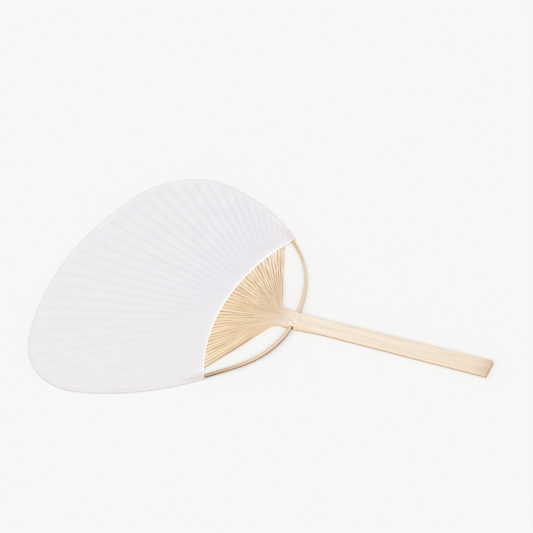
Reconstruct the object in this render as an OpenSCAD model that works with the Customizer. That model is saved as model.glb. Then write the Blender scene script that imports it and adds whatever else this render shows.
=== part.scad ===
// A round uchiwa, the flat fan of bamboo and paper.
// One flat bamboo slat is the handle, and its head is split into a fan of ribs. A bent bow passes
// through the neck of the slat. A thread is woven through the ribs and tied to both ends of the bow,
// and two sheets of paper cover the ribs, with a narrow strip folded over the rim.
// The fan lies flat, front face up. X runs across it, Y from the end of the handle to the far rim
// and Z up. The origin is under the middle of its overall box. Headings are in degrees from +Y.

/* [Handle] */
// Length of the whole slat, from its end to where the ribs split
handle_len = 165.5; // [130:0.5:220]
// Width of the handle at its end
end_w = 14.8; // [12:0.1:18]
// Width of the handle where it begins to swell towards the neck
handle_w = 13.8; // [11:0.1:16]
// Thickness of the slat along the handle
handle_t = 3; // [2.4:0.1:4]
// Width of the slat at the hole for the bow
neck_w = 16.2; // [16:0.1:20]
// Thickness of the slat at the hole for the bow
neck_t = 4.8; // [4.6:0.1:6]
// Width of the slat where the ribs split
split_w = 15.6; // [13:0.1:16]
// Thickness of the slat where the ribs split
split_t = 3.4; // [2.6:0.1:4.4]
// Length over which the handle swells towards the hole
neck_run = 27; // [16:0.5:40]
// How far the neck sits left of the middle of the head
neck_shift = 1.6; // [0:0.1:2]
// How far the handle sits left of the middle where it begins to swell
swell_shift = 0.6; // [0:0.1:1.2]
// How far the handle's end sits right of the middle
end_shift = 0.8; // [0:0.1:1.2]
// Width shaved off each upper edge at the hole
shave_w = 2.2; // [1:0.1:3]
// Depth shaved off each upper edge at the hole
shave_t = 2.5; // [1:0.1:3]
// Size of the small cuts on the two corners of the handle's end
end_cut = 0.6; // [0.4:0.1:2]
// Length of the slope that thins the handle's end
end_slope = 1.4; // [0.6:0.1:3]
// Thickness of the very end of the handle
end_t = 2; // [1.2:0.1:2.4]

/* [Bow] */
// Diameter of the hole for the bow
bore_d = 3.4; // [3.1:0.05:3.6]
// Distance of the bow from where the ribs split
bow_back = 8; // [6:0.1:12]
// How much higher the bow leaves the hole on the right than on the left
bow_rise = 1; // [0:0.1:1.6]
// How far the bow turns towards the head as it leaves the hole, in degrees
bow_splay = 6; // [0:0.5:8]
// Play between the bow and the head side of its hole
bow_play = 0.2; // [0.15:0.05:0.3]
// Width of the bow
bow_w = 1.9; // [1.6:0.1:2.2]
// Thickness of the bow
bow_t = 1.8; // [1.4:0.1:2]
// Width of the bow's flattened ends
tip_w = 2; // [1.8:0.1:2.2]
// Length of each end under the paper
tip_len = 12; // [8:0.5:12.5]
// Distance of the bow's ends from the rim, measured to their middle
tip_inset = 2.6; // [2:0.05:2.8]
// How far the bow runs on straight beside the neck before it turns
belly_root = 35.6; // [24:0.2:38]
// How far the bow runs straight before it meets the paper
belly_tip = 24.6; // [14:0.2:28]

/* [Head] */
// Width of the head
head_w = 240; // [220:1:260]
// Height of the head above where the ribs split
head_h = 204.8; // [190:0.5:220]
// Radius of the head's crown
crown_r = 200; // [180:1:230]
// Radius of the head's right shoulder
shoulder_r = 64; // [50:1:75]
// Radius of the head's left shoulder
left_shoulder_r = 60; // [50:1:75]
// Radius of the head's sides
side_r = 200; // [170:1:230]
// How far the shoulders turn in below the widest point
side_turn = 12.2; // [8:0.2:16]
// Radius of the paper's lower edge
edge_r = 145.8; // [135:0.2:160]
// Height of the paper's lower edge above where the ribs split
edge_rise = 53.2; // [48:0.2:58]
// How far the lower edge and the thread sit to one side
edge_shift = 2; // [0:0.1:2]

/* [Ribs] */
// Number of ribs
rib_count = 39; // [31:2:41]
// Thickness of the ribs under the paper
rib_t = 1; // [0.9:0.05:1.4]
// Share of the space between the thread's turns that a rib fills
rib_fill = 0.52; // [0.4:0.01:0.56]
// Width of the ribs at the rim
rib_end_w = 1.2; // [0.8:0.1:1.6]
// Distance along the thread from the outermost ribs to the bow
bow_rib_gap = 8.5; // [7.4:0.1:12]
// Height above the split at which the ribs have turned halfway to their heading
bend_h = 4.8; // [4:0.1:8]
// Distance of the ribs' ends from the cut edge of the paper
rib_short = 0.8; // [0.6:0.1:3]

/* [Paper and thread] */
// Thickness of each sheet of paper
paper_t = 0.2; // [0.15:0.01:0.3]
// Width of the strip over the rim
strip_w = 3; // [2:0.1:5]
// Thickness of the strip over the rim
strip_t = 0.2; // [0.15:0.01:0.25]
// Gap between the strip's fold and the paper's cut edge
strip_gap = 0.05; // [0.02:0.01:0.1]
// Diameter of the binding thread
thread_d = 0.25; // [0.2:0.01:0.3]
// Distance of the thread from the paper's lower edge
thread_in = 3; // [2.4:0.1:4]
// Gap between the thread and what it passes over
thread_gap = 0.025; // [0.02:0.005:0.04]

/* [Hidden] */
RIB_NODES = [for (i = [1 : rib_count]) str("rib_", i < 10 ? "0" : "", i)];
BODY_NODES = ["handle", "bow", "binding_thread", "paper_front", "paper_back", "edge_strip"];

// Heights, from the table up. The thread's ridge on the back sheet is the lowest place of the head.
ridge_rise = thread_d + 2 * thread_gap;
rib_z0 = paper_t + ridge_rise;
rib_z1 = rib_z0 + rib_t;
rib_mid = (rib_z0 + rib_z1) / 2;
bore_z = neck_t / 2;
bore_y = -bow_back - (bore_d - bow_w) / 2 + bow_play;
bow_lean = asin(bow_rise / neck_w);
middle_y = (head_h - handle_len) / 2;

// Centres of the arcs that make one half of the rim, and where they meet. A side is 1 for the right
// half and -1 for the left, which is worked out mirrored, as a right half.
crown_c = [0, head_h - crown_r];
side_start = 90 + side_turn;
arc_turn = 4;
function round_r(side) = side < 0 ? left_shoulder_r : shoulder_r;
function round_x(side) = head_w / 2 - round_r(side);
function crown_turn(side) = asin(round_x(side) / (crown_r - round_r(side)));
function shoulder_c(side) = crown_c + (crown_r - round_r(side)) * toward(crown_turn(side));
function side_c(side) = shoulder_c(side) - (side_r - round_r(side)) * toward(side_start);

// The lower edge's circle and the thread that runs beside it
edge_c = [edge_shift, edge_rise - edge_r];
thread_r = edge_r + thread_in;
paper_inset = strip_t + strip_gap;

// Ribs are numbered from the left. Each is placed by its turn, from -1 to 1.
rib_pitch = 2 / (rib_count - 1);
split_half = split_w / 2 * (rib_count - 1) / rib_count;

// Plan helpers
function toward(heading) = [sin(heading), cos(heading)];
function heading_of(v) = atan2(v[0], v[1]);
function unit(v) = v / norm(v);
function left_of(v) = [-v[1], v[0]];
function mix(a, b, u) = a + (b - a) * u;
function flip_x(points) = [for (i = [len(points) - 1 : -1 : 0]) [-points[i][0], points[i][1]]];
function arc(c, r, a0, a1) =
  let (steps = max(1, ceil(abs(a1 - a0) / arc_turn)))
  [for (i = [0 : steps]) c + r * toward(mix(a0, a1, i / steps))];

// The point right of the line from c2 to c1 where two circles meet
function meet(c1, r1, c2, r2) =
  let (d = norm(c2 - c1), along = (r1 * r1 - r2 * r2 + d * d) / (2 * d), u = unit(c2 - c1))
  c1 + along * u + sqrt(r1 * r1 - along * along) * left_of(u);

// How far a ray from p with direction d runs before it leaves a circle
function leave(p, d, c, r) =
  let (b = (c - p) * d, k = (c - p) * (c - p) - r * r)
  b + sqrt(b * b - k);

// The lower edge's centre as one half sees it
function edge_seen(side) = [side * edge_c[0], edge_c[1]];

// The corner where the rim meets the lower edge, moved in from the rim
function corner(side, inset) = meet(side_c(side), side_r - inset, edge_seen(side), edge_r);
function corner_turn(side, inset) = heading_of(corner(side, inset) - side_c(side));

// One half of the rim. Its side runs on past the corner, where the lower edge cuts it off.
past_turn = 4;
function rim_half(side, inset) = concat(
  arc(crown_c, crown_r - inset, 0, crown_turn(side)),
  arc(shoulder_c(side), round_r(side) - inset, crown_turn(side), side_start),
  arc(side_c(side), side_r - inset, side_start, corner_turn(side, 0) + past_turn));

module in_place() {
  translate([0, -middle_y, 0]) children();
}

module rim_plan(inset) {
  polygon(concat(rim_half(1, inset), flip_x(rim_half(-1, inset))));
}

module head_plan(inset) {
  difference() {
    rim_plan(inset);
    translate(edge_c) circle(r = edge_r, $fn = 180);
  }
}

// A solid skinned over rings of points, each ring with as many points as the next
module skin(rings) {
  n = len(rings[0]);
  last = len(rings) - 1;
  points = [for (ring = rings) each ring];
  walls = [for (k = [0 : last - 1], i = [0 : n - 1])
    let (a = k * n + i, b = k * n + (i + 1) % n)
    each [[a, b, b + n], [a, b + n, a + n]]];
  caps = [[for (i = [n - 1 : -1 : 0]) i], [for (i = [0 : n - 1]) last * n + i]];
  polyhedron(points, concat(walls, caps), convexity = 6);
}

// Handle

// One half of the slat in plan. The neck's middle is moved to the left, and the end's to the right.
function slat_half(side) = [
  [end_w / 2 + side * end_shift - end_cut, -handle_len],
  [end_w / 2 + side * end_shift, -handle_len + end_cut],
  [handle_w / 2 - side * swell_shift, bore_y - neck_run],
  [neck_w / 2 - side * neck_shift, bore_y],
  [split_w / 2 - side * neck_shift, 0]];

module slat_plan() {
  polygon(concat(slat_half(1), flip_x(slat_half(-1))));
}

module slat_side() {
  polygon([
    [-handle_len, 0],
    [0, 0],
    [0, split_t],
    [bore_y, neck_t],
    [bore_y - neck_run, handle_t],
    [-handle_len + end_slope, handle_t],
    [-handle_len, end_t]]);
}

// The wedge that a knife takes off one upper edge of the neck, deepest at the hole. It is drawn about
// the neck's middle.
module neck_shaving(side) {
  corners = [
    [neck_w / 2, bore_y, neck_t - shave_t],
    [neck_w / 2 - shave_w, bore_y, neck_t],
    [neck_w / 2 + shave_w, bore_y, neck_t + shave_t],
    [handle_w / 2 + side * (neck_shift - swell_shift), bore_y - neck_run, handle_t],
    [split_w / 2, 0, split_t]];
  polyhedron(corners, [[0, 1, 3], [1, 2, 3], [2, 0, 3], [1, 0, 4], [2, 1, 4], [0, 2, 4]]);
}

module handle() {
  color("#efdfc6") in_place() difference() {
    intersection() {
      linear_extrude(neck_t) slat_plan();
      rotate([90, 0, 90]) linear_extrude(2 * neck_w, center = true) slat_side();
    }
    translate([-neck_shift, 0, 0]) {
      neck_shaving(1);
      mirror([1, 0, 0]) neck_shaving(-1);
      translate([0, bore_y, bore_z]) rotate([0, 90, bow_lean])
        cylinder(d = bore_d, h = neck_w + 2, center = true, $fn = 48);
    }
  }
}

// Ribs

// Where the thread meets the middle of the bow's nock, on either side, measured along the thread
function nock_at(side) =
  let (p = meet(side_c(side), side_r - tip_inset, edge_seen(side), thread_r) - edge_seen(side))
  side * heading_of(p) * PI / 180 * thread_r;

// The ribs spread evenly along the thread, up to the gap beside the nearer end of the bow
thread_half = min(nock_at(1), -nock_at(-1)) - bow_rib_gap;
rib_spread = thread_half / thread_r * 180 / PI;

// The ribs have thinned to the papers' spacing this far before the lower edge
edge_clear = 0.4;

// Where a rib turned by t leaves the split, where it would turn at once, and where the thread crosses it
function rib_root(t) = [t * split_half - neck_shift, 0];
function rib_elbow(t) = rib_root(t) + [0, bend_h];
function rib_cross(t) = edge_c + thread_r * toward(t * rib_spread);
function rib_way(t) = unit(rib_cross(t) - rib_elbow(t));

// Middle line of a rib in plan at one of its stations, from the split to the thread
function rib_line(t, station) =
  let (p1 = rib_elbow(t), p2 = p1 + bend_h * rib_way(t))
  station == 0 ? rib_root(t) :
  station == 1 ? (rib_root(t) + 2 * p1 + p2) / 4 :
  station == 2 ? p2 :
  station == 3 ? (p2 + rib_cross(t)) / 2 :
  station == 4 ? p1 + leave(p1, rib_way(t), edge_c, edge_r - edge_clear) * rib_way(t) :
  rib_cross(t);

// The rim as one rib meets it: the ray leaves the crown, the shoulder or the side
function rib_reach(t) =
  let (
    d = rib_way(t),
    p = rib_elbow(t),
    side = d[0] < 0 ? -1 : 1,
    q = [side * p[0], p[1]],
    e = [side * d[0], d[1]],
    inset = paper_inset + rib_short,
    far = leave(q, e, crown_c, crown_r - inset),
    near = leave(q, e, shoulder_c(side), round_r(side) - inset),
    low = leave(q, e, side_c(side), side_r - inset))
  heading_of(q + far * e - crown_c) <= crown_turn(side) ? far :
  heading_of(q + near * e - shoulder_c(side)) <= side_start ? near :
  low;

// Share of the pitch that a rib fills, its underside and its top at each station
rib_share = [1, 0.92, 0.84, mix(0.84, rib_fill, 0.5), rib_fill, rib_fill];
rib_under = [0, 0, rib_z0 * 0.2, rib_z0 * 0.6, rib_z0, rib_z0];
rib_top = [split_t, split_t, mix(split_t, rib_z1, 0.2), mix(split_t, rib_z1, 0.6), rib_z1, rib_z1];

function rib_ring(a, b, z0, z1) = [[a[0], a[1], z0], [b[0], b[1], z0], [b[0], b[1], z1], [a[0], a[1], z1]];

module rib(i) {
  t = -1 + (i - 1) * rib_pitch;
  stations = [for (k = [0 : 5])
    let (half = rib_share[k] * rib_pitch / 2)
    rib_ring(rib_line(t - half, k), rib_line(t + half, k), rib_under[k], rib_top[k])];
  end = rib_elbow(t) + rib_reach(t) * rib_way(t);
  end_side = left_of(rib_way(t)) * rib_end_w / 2;
  tip = rib_ring(end + end_side, end - end_side, rib_z0, rib_z1);
  color("#e2c08c") in_place() skin(concat(stations, [tip]));
}

// Bow

// The bow's end follows the rim, this far past the corner
function tip_point(side, s) =
  let (r = side_r - tip_inset)
  side_c(side) + r * toward(corner_turn(side, tip_inset) - s / r * 180 / PI);
function tip_way(side) = left_of(toward(corner_turn(side, tip_inset)));

// The bow from the mouth of its hole, at u = 0, to the corner, at u = 1
function bow_curve(side, u) =
  let (
    lean = side * bow_lean,
    p0 = [-side * neck_shift, -bow_back] + neck_w / 2 * [cos(lean), sin(lean)],
    p3 = corner(side, tip_inset),
    p1 = p0 + belly_root * [cos(lean + bow_splay), sin(lean + bow_splay)],
    p2 = p3 - belly_tip * tip_way(side))
  pow(1 - u, 3) * p0 + 3 * pow(1 - u, 2) * u * p1 + 3 * (1 - u) * u * u * p2 + pow(u, 3) * p3;
function bow_slope(side, u) = unit(bow_curve(side, u + 0.01) - bow_curve(side, u - 0.01));

// Width, thickness and height of the bow from the hole to the corner. Its ends are whittled flat, and
// have come down to the papers' spacing just before they go under the paper.
whittle_from = 0.85;
whittle_to = 0.96;
function whittled(u) = min(1, max(0, (u - whittle_from) / (whittle_to - whittle_from)));
function bow_wide(u) = mix(bow_w, tip_w, whittled(u));
function bow_thick(u) = mix(bow_t, rib_t, whittled(u));
function bow_high(u) = mix(bore_z, rib_mid, min(1, u / whittle_to));

// The nock is the narrow place near each end where the thread is tied
nock_w = tip_w - 2 * ridge_rise;
nock_t = rib_t - 2 * ridge_rise;
nock_half = 1.3;
nock_slope = 0.3;
point_w = 1.4;
nock_stations = [
  [thread_in - nock_half - nock_slope, tip_w, rib_t],
  [thread_in - nock_half, nock_w, nock_t],
  [thread_in + nock_half, nock_w, nock_t],
  [thread_in + nock_half + nock_slope, tip_w, rib_t],
  [tip_len, point_w, rib_t]];

// An eight-sided ring with cut corners, square to the way the bow runs
corner_cut = 0.25;
function bow_ring(p, way, z, w, t) =
  let (
    across = left_of(way),
    cut = corner_cut * min(w, t),
    shape = [
      [w / 2, -t / 2 + cut], [w / 2, t / 2 - cut], [w / 2 - cut, t / 2], [-w / 2 + cut, t / 2],
      [-w / 2, t / 2 - cut], [-w / 2, -t / 2 + cut], [-w / 2 + cut, -t / 2], [w / 2 - cut, -t / 2]])
  [for (s = shape) [p[0] - across[0] * s[0], p[1] - across[1] * s[0], z + s[1]]];

bow_steps = 18;
function bow_half(side) = concat(
  [for (k = [0 : bow_steps])
    let (u = k / bow_steps)
    bow_ring(bow_curve(side, u), bow_slope(side, u), bow_high(u), bow_wide(u), bow_thick(u))],
  [for (s = nock_stations)
    let (p = tip_point(side, s[0]))
    bow_ring(p, left_of(unit(p - side_c(side))), rib_mid, s[1], s[2])]);

// The left half, mirrored, from its end to the hole, so that it leads into the right half
function bow_left() =
  let (half = bow_half(-1))
  [for (k = [len(half) - 1 : -1 : 0]) [for (p = half[k]) [-p[0], p[1], p[2]]]];

module bow() {
  color("#c99b66") in_place() skin(concat(bow_left(), bow_half(1)));
}

// Thread

// A place beside the lower edge's circle: s along the thread, out past it by d, at height z
function beside(s, d, z) =
  let (p = edge_c + (thread_r + d) * toward(s / thread_r * 180 / PI))
  [p[0], p[1], z];

thread_sides = 8;
weave = rib_t / 2 + thread_d / 2 + thread_gap;
rib_gap_s = thread_half * rib_pitch;
pass_over = 0.06;
rib_pass = rib_gap_s * (rib_fill / 2 + pass_over);

// Over one rib, under the next, and back to the middle after the last
weave_end = rib_count / 2 * rib_gap_s;
weave_points = concat(
  [[-weave_end, 0, rib_mid]],
  [for (i = [0 : rib_count - 1])
    let (s = (i - (rib_count - 1) / 2) * rib_gap_s, z = rib_mid + (i % 2 == 0 ? weave : -weave))
    each [[s - rib_pass, 0, z], [s + rib_pass, 0, z]]],
  [[weave_end, 0, rib_mid]]);

// One turn round the nock, which starts and ends on the nock's inner side
wrap_play = 0.12;
wrap_w = nock_w / 2 + thread_d / 2 + wrap_play;
wrap_t = nock_t / 2 + thread_d / 2 + thread_gap;
wrap_pitch = 0.45;
tie_shape = [[-1.6, 0], [-1, 0.5], [-0.8, 1], [0.8, 1], [1, 0.5], [1, -0.5], [0.8, -1], [-0.8, -1], [-1, -0.5]];
function tie(side) = [for (k = [0 : len(tie_shape) - 1])
  let (c = tie_shape[k])
  [nock_at(side) + side * c[0] * wrap_w, wrap_pitch * k / (len(tie_shape) - 1), rib_mid + c[1] * wrap_t]];
function turned(list) = [for (k = [len(list) - 1 : -1 : 0]) list[k]];

thread_route = concat(turned(tie(-1)), weave_points, tie(1));

function thread_ring(k) =
  let (
    last = len(thread_route) - 1,
    here = beside(thread_route[k][0], thread_route[k][1], thread_route[k][2]),
    before = thread_route[max(0, k - 1)],
    after = thread_route[min(last, k + 1)],
    back = k == 0 ? here : beside(before[0], before[1], before[2]),
    on = k == last ? here : beside(after[0], after[1], after[2]),
    go = (k == 0 || k == last) ? unit(on - back) : unit(unit(on - here) + unit(here - back)),
    flat_out = unit([here[0] - edge_c[0], here[1] - edge_c[1], 0]),
    out = unit(flat_out - (flat_out * go) * go),
    up = cross(out, go))
  [for (i = [0 : thread_sides - 1])
    here + thread_d / 2 * (cos(360 * i / thread_sides) * out + sin(360 * i / thread_sides) * up)];

module binding_thread() {
  color("#f2efe6") in_place() skin([for (k = [0 : len(thread_route) - 1]) thread_ring(k)]);
}

// Paper

// Half the ridge's flat top, the width of its slope, and how far it runs past the outermost ribs.
// The groove under it starts just below the sheet and stops short of the ridge's ends.
ridge_half = 0.5;
ridge_flank = 0.7;
ridge_past = 3.1;
groove_wall = 0.5;
groove_dip = 0.01;

// The ridge that a sheet makes where it passes over the thread, drawn in radius and height
module ridge_band(foot_z, top_z, wider, past) {
  spread = rib_spread + past / thread_r * 180 / PI;
  translate(edge_c) rotate([0, 0, 90 - spread])
    rotate_extrude(angle = 2 * spread, $fn = 180)
      polygon([
        [thread_r - ridge_half - ridge_flank - wider, foot_z],
        [thread_r + ridge_half + ridge_flank + wider, foot_z],
        [thread_r + ridge_half + wider, top_z],
        [thread_r - ridge_half - wider, top_z]]);
}

// One sheet, drawn as the front one with its underside at zero
module sheet() {
  difference() {
    union() {
      linear_extrude(paper_t) head_plan(paper_inset);
      ridge_band(paper_t / 2, ridge_rise + paper_t, paper_t, ridge_past);
    }
    ridge_band(-groove_dip, ridge_rise, 0, ridge_past - groove_wall);
  }
}

module paper_front() {
  color("#eeebef") in_place() translate([0, 0, rib_z1]) sheet();
}

module paper_back() {
  color("#eeebef") in_place() translate([0, 0, rib_z0]) mirror([0, 0, 1]) sheet();
}

// The strip is folded over the rim: a thin wall outside the papers and a band on each face
module strip_band(z) {
  translate([0, 0, z]) linear_extrude(strip_t) difference() {
    head_plan(0);
    rim_plan(strip_w);
  }
}

module edge_strip() {
  low = rib_z0 - paper_t - strip_t;
  high = rib_z1 + paper_t;
  color("#e6e3e8") in_place() union() {
    strip_band(low);
    strip_band(high);
    translate([0, 0, low]) linear_extrude(high + strip_t - low) difference() {
      head_plan(0);
      rim_plan(strip_t);
    }
  }
}

handle();
bow();
binding_thread();
paper_front();
paper_back();
edge_strip();
for (i = [1 : rib_count]) {
  rib(i);
}
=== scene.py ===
import math
import random

import bmesh
import bpy
from mathutils import Matrix, Vector


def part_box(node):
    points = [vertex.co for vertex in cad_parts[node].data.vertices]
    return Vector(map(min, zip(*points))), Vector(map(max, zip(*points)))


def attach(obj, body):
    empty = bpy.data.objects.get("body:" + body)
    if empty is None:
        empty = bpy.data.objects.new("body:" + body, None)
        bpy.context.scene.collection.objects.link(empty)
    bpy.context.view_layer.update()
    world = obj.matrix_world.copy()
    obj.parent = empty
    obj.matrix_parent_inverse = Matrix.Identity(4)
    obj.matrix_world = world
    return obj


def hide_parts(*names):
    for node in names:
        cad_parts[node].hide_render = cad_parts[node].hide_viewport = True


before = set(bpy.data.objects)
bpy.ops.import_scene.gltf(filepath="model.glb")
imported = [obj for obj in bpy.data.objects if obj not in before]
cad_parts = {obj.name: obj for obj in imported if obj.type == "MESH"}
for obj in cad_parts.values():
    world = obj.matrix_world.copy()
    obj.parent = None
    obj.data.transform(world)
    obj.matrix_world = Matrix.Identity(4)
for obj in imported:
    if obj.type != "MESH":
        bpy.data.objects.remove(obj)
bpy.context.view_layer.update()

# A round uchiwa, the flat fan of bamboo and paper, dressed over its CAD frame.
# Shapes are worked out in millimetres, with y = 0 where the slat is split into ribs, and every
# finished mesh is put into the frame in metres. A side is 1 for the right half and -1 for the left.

mm = 0.001


def boxOf(node):
    # A CAD node's lowest and highest corners in millimetres
    low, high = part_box(node)
    return low / mm, high / mm


slatBox = boxOf("handle")
rimBox = boxOf("edge_strip")
frontBox = boxOf("paper_front")
backBox = boxOf("paper_back")
splitY = slatBox[1].y
print("frame loaded, the slat is split at y =", round(splitY, 2), "mm")


# Plan of the fan

head = {
    "width": rimBox[1].x - rimBox[0].x,
    "height": rimBox[1].y - splitY,  # from the split to the crown
    "crownRadius": 200,
    "shoulderRadius": {1: 64, -1: 60},
    "sideRadius": 200,
    "sideTurn": math.radians(12.2),  # how far past level the shoulder turns before the flank begins
    "edgeRadius": 145.8,  # of the paper's lower edge
    "edgeRise": 53.2,
    "edgeShift": 2,
    "threadIn": 3,  # from the lower edge in to the thread
    "ribCount": 39,
    "splitHalf": 7.6,  # from the middle of the split to the outermost rib's middle
    "neckShift": 1.6,  # to the left
    "bendHeight": 4.8,
    "bowRibGap": 8.5,  # along the thread, from the bow to the outermost rib
    "tipInset": 2.6,  # from the rim in to the middle of the bow's end
}


def toward(turn):
    # Unit direction in plan, turned from +Y towards +X
    return Vector((math.sin(turn), math.cos(turn)))


def turnOf(way):
    return math.atan2(way.x, way.y)


def leftOf(way):
    return Vector((-way.y, way.x))


def mix(a, b, share):
    return a + (b - a) * share


def ease(value, low=0, high=1):
    # 0 below low, 1 above high and smooth between
    share = min(1, max(0, (value - low) / (high - low)))
    return share * share * (3 - 2 * share)


def squarish(value, squareness):
    # Turns a sine or cosine into that of a rounded square; 2 leaves a circle
    return math.copysign(abs(value) ** (2 / squareness), value)


def stepped(stops, value):
    # Reads a value between stops, each a place and its value
    for (low, a), (high, b) in zip(stops, stops[1:]):
        if value <= high:
            return mix(a, b, (value - low) / (high - low))
    return stops[-1][1]


def meetCircles(c1, r1, c2, r2):
    # The point right of the line from c2 to c1 where two circles meet
    between = c2 - c1
    away = between.length
    along = (r1 * r1 - r2 * r2 + away * away) / (2 * away)
    unit = between / away
    return c1 + along * unit + math.sqrt(r1 * r1 - along * along) * leftOf(unit)


def leaveCircle(start, way, centre, radius):
    # How far a ray runs before it leaves a circle
    b = (centre - start).dot(way)
    return b + math.sqrt(max(0, b * b - (centre - start).length_squared + radius * radius))


def halfRim(side):
    # The arcs of one half of the rim, as a right half: centre, radius, and the turn where it ends.
    # The flank ends at the paper's corner.
    crown = Vector((0, head["height"] - head["crownRadius"]))
    radius = head["shoulderRadius"][side]
    spread = head["crownRadius"] - radius
    crownEnd = math.asin((head["width"] / 2 - radius) / spread)
    shoulder = crown + spread * toward(crownEnd)
    shoulderEnd = math.pi / 2 + head["sideTurn"]
    flank = shoulder - (head["sideRadius"] - radius) * toward(shoulderEnd)
    return {
        "crown": (crown, head["crownRadius"], crownEnd),
        "shoulder": (shoulder, radius, shoulderEnd),
        "flank": (flank, head["sideRadius"]),
    }


rims = {side: halfRim(side) for side in (-1, 1)}
edgeCentre = Vector((head["edgeShift"], head["edgeRise"] - head["edgeRadius"]))
threadRadius = head["edgeRadius"] + head["threadIn"]


def mirrored(side, point):
    return Vector((side * point.x, point.y))


def cornerTurn(side, inset, radius=head["edgeRadius"]):
    # Where the rim's lowest arc meets a circle about the lower edge's centre
    centre, flankRadius = rims[side]["flank"]
    corner = meetCircles(centre, flankRadius - inset, mirrored(side, edgeCentre), radius)
    return turnOf(corner - centre)


def rimPoint(inset, share):
    # The rim from the left corner, at share 0, over the crown to the right corner, at share 1
    side = -1 if share < 0.5 else 1
    rim = rims[side]
    lengths = [
        rim["crown"][1] * rim["crown"][2],
        rim["shoulder"][1] * (rim["shoulder"][2] - rim["crown"][2]),
        rim["flank"][1] * (cornerTurn(side, 0) - rim["shoulder"][2])]
    run = abs(2 * share - 1) * sum(lengths)
    if run < lengths[0]:
        centre, radius, _ = rim["crown"]
        turn = run / radius
    elif run < lengths[0] + lengths[1]:
        centre, radius, _ = rim["shoulder"]
        turn = rim["crown"][2] + (run - lengths[0]) / radius
    else:
        centre, radius = rim["flank"]
        down = (run - lengths[0] - lengths[1]) / lengths[2]
        turn = mix(rim["shoulder"][2], cornerTurn(side, inset), down)
    return mirrored(side, centre + (radius - inset) * toward(turn))


def nockLength(side):
    # Length of the thread from its middle to the bow's end
    centre, radius = rims[side]["flank"]
    middle = mirrored(side, edgeCentre)
    nock = meetCircles(centre, radius - head["tipInset"], middle, threadRadius)
    return turnOf(nock - middle) * threadRadius


ribPitch = 2 / (head["ribCount"] - 1)
threadHalf = min(nockLength(1), nockLength(-1)) - head["bowRibGap"]
ribSpread = threadHalf / threadRadius


# Lines of the fan: t runs from -1 at the leftmost rib to 1 at the rightmost. Each line bends at its
# elbow, just past the split, and then runs straight to the rim.

def lineElbow(t):
    return Vector((t * head["splitHalf"] - head["neckShift"], head["bendHeight"]))


def lineWay(t):
    return (edgeCentre + threadRadius * toward(t * ribSpread) - lineElbow(t)).normalized()


def linePoint(t, run):
    # A place on a line, run millimetres past its elbow. Up to the bend's height either side of the
    # elbow the line is a curve, which starts at the split.
    elbow, bend = lineElbow(t), head["bendHeight"]
    if run >= bend:
        return elbow + lineWay(t) * run
    q = (run + bend) / (2 * bend)
    out = elbow + lineWay(t) * bend
    return (1 - q) ** 2 * Vector((elbow.x, 0)) + 2 * q * (1 - q) * elbow + q * q * out


def lineToEdge(t):
    return leaveCircle(lineElbow(t), lineWay(t), edgeCentre, head["edgeRadius"])


def lineToRim(t, inset):
    side = -1 if lineWay(t).x < 0 else 1
    start, way = mirrored(side, lineElbow(t)), mirrored(side, lineWay(t))
    for arc in ("crown", "shoulder"):
        centre, radius, end = rims[side][arc]
        run = leaveCircle(start, way, centre, radius - inset)
        if turnOf(start + run * way - centre) <= end:
            return run
    centre, radius = rims[side]["flank"]
    return leaveCircle(start, way, centre, radius - inset)


# Meshes. Their vertices carry the place of the grain, across and along it in millimetres, and
# shades from 0 to 1 that the materials read.

def newShades(bm, names):
    return {name: bm.verts.layers.float.new(name) for name in names}


def setVert(vert, layers, point, shades):
    vert.co = (point + Vector((0, splitY, 0))) * mm
    for name, layer in layers.items():
        vert[layer] = shades[name]


def sweepPiece(sections):
    # Extrudes a ring from section to section. A section is a ring of (point, shades).
    bm = bmesh.new()
    layers = newShades(bm, sections[0][0][1])
    order = bm.verts.layers.int.new("order")
    bmesh.ops.create_circle(bm, segments=len(sections[0]), radius=mm)
    ring = list(bm.verts)
    for place, vert in enumerate(ring):
        vert[order] = place
        setVert(vert, layers, *sections[0][place])
    bmesh.ops.contextual_create(bm, geom=bm.edges[:])
    edges = bm.edges[:]
    for section in sections[1:]:
        fresh = bmesh.ops.extrude_edge_only(bm, edges=edges)["geom"]
        edges = [part for part in fresh if isinstance(part, bmesh.types.BMEdge)]
        for vert in fresh:
            if isinstance(vert, bmesh.types.BMVert):
                setVert(vert, layers, *section[vert[order]])
    bmesh.ops.contextual_create(bm, geom=edges)
    bmesh.ops.recalc_face_normals(bm, faces=bm.faces)
    bm.verts.layers.int.remove(bm.verts.layers.int["order"])
    return bm


def finishPiece(bm, name, material, node, sharp):
    # Makes a piece of the fan from a bmesh and lets it stand for its CAD node. Edges that turn more
    # than sharp, in degrees, stay sharp.
    mesh = bpy.data.meshes.new(name)
    bm.to_mesh(mesh)
    bm.free()
    mesh.polygons.foreach_set("use_smooth", [True] * len(mesh.polygons))
    mesh.set_sharp_from_angle(angle=math.radians(sharp))
    mesh.materials.append(material)
    piece = bpy.data.objects.new(name, mesh)
    bpy.context.scene.collection.objects.link(piece)
    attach(piece, "root")
    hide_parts(node)
    return piece


# Materials

def colour(code):
    # sRGB hex to linear
    parts = [int(code[i:i + 2], 16) / 255 for i in (1, 3, 5)]
    return [c / 12.92 if c <= 0.04045 else ((c + 0.055) / 1.055) ** 2.4 for c in parts] + [1]


def addNode(tree, kind, settings=None, links=None):
    # Adds a node. A setting is a value of one of its sockets or of its own, or a ramp's stops.
    node = tree.nodes.new(kind)
    for key, value in (settings or {}).items():
        if key == "stops":
            for place, _ in value[2:]:
                node.color_ramp.elements.new(place)
            for element, (place, code) in zip(node.color_ramp.elements, value):
                element.position = place
                element.color = colour(code)
        elif isinstance(key, int) or key in node.inputs:
            node.inputs[key].default_value = value
        else:
            setattr(node, key, value)
    for key, source in (links or {}).items():
        tree.links.new(source, node.inputs[key])
    return node


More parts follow.
